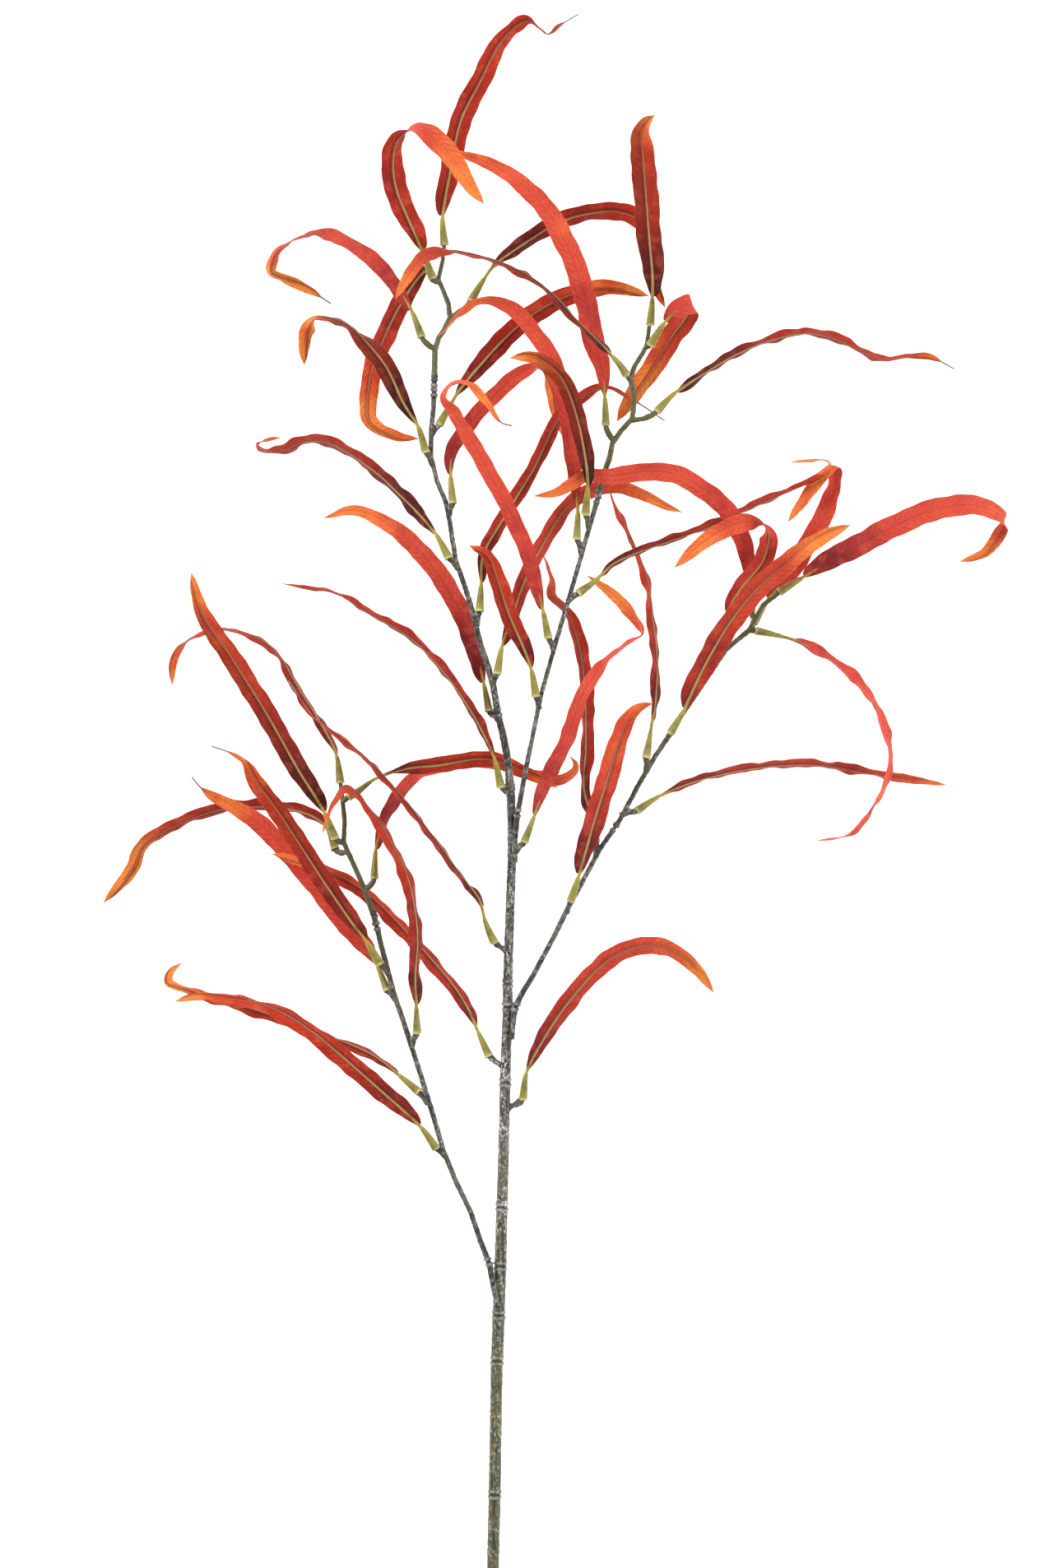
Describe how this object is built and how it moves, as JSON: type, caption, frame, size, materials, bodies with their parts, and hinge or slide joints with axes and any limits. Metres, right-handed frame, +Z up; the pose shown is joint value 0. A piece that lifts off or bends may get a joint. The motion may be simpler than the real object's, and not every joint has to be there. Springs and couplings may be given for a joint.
{
  "type": "artificial eucalyptus sprig",
  "caption": "Branching spray of narrow red and orange eucalyptus leaves on dark moulded stems, lying flat on a surface.",
  "frame": {"origin": "on the surface that the spray lies on, under the middle of its box", "axes": "+Z up from the surface; +Y along the main stem from its cut end towards the spray's tip; +X to the right seen from above"},
  "size_m": [0.5533, 0.9912, 0.0855],
  "materials": {
    "bark": "dark grey moulded bark with pale flecks, olive patches and low joint rings",
    "twig": "smooth olive grey-green moulded twig",
    "leaf": "printed cloth blade, maroon at the base, red, then bright orange at the tip",
    "rib": "tan moulded rib, darker and redder towards the tip",
    "sleeve": "olive and yellow-green moulded sleeve with a pale thin mouth",
    "wire": "thin grey wire, bare past some leaf tips"
  },
  "bodies": {
    "root": {"main_stem": "bark", "upper_left_branch": "bark", "centre_right_branch": "bark", "right_branch": "bark", "left_branch": "bark", "upper_left_twig": "twig", "centre_right_twig": "twig", "right_twig": "twig", "left_twig": "twig", "leaf_01": "leaf", "leaf_02": "leaf", "leaf_03": "leaf", "leaf_04": "leaf", "leaf_05": "leaf", "leaf_06": "leaf", "leaf_07": "leaf", "leaf_08": "leaf", "leaf_09": "leaf", "leaf_10": "leaf", "leaf_11": "leaf", "leaf_12": "leaf", "leaf_13": "leaf", "leaf_14": "leaf", "leaf_15": "leaf", "leaf_16": "leaf", "leaf_17": "leaf", "leaf_18": "leaf", "leaf_19": "leaf", "leaf_20": "leaf", "leaf_21": "leaf", "leaf_22": "leaf", "leaf_23": "leaf", "leaf_24": "leaf", "leaf_25": "leaf", "leaf_26": "leaf", "leaf_27": "leaf", "leaf_28": "leaf", "leaf_29": "leaf", "leaf_30": "leaf", "leaf_31": "leaf", "leaf_32": "leaf", "leaf_33": "leaf", "leaf_34": "leaf", "leaf_35": "leaf", "leaf_36": "leaf", "leaf_37": "leaf", "leaf_38": "leaf", "leaf_39": "leaf", "leaf_40": "leaf", "leaf_41": "leaf", "leaf_42": "leaf", "leaf_43": "leaf", "leaf_44": "leaf", "leaf_45": "leaf", "leaf_46": "leaf", "leaf_47": "leaf"}
  },
  "joints": []
}
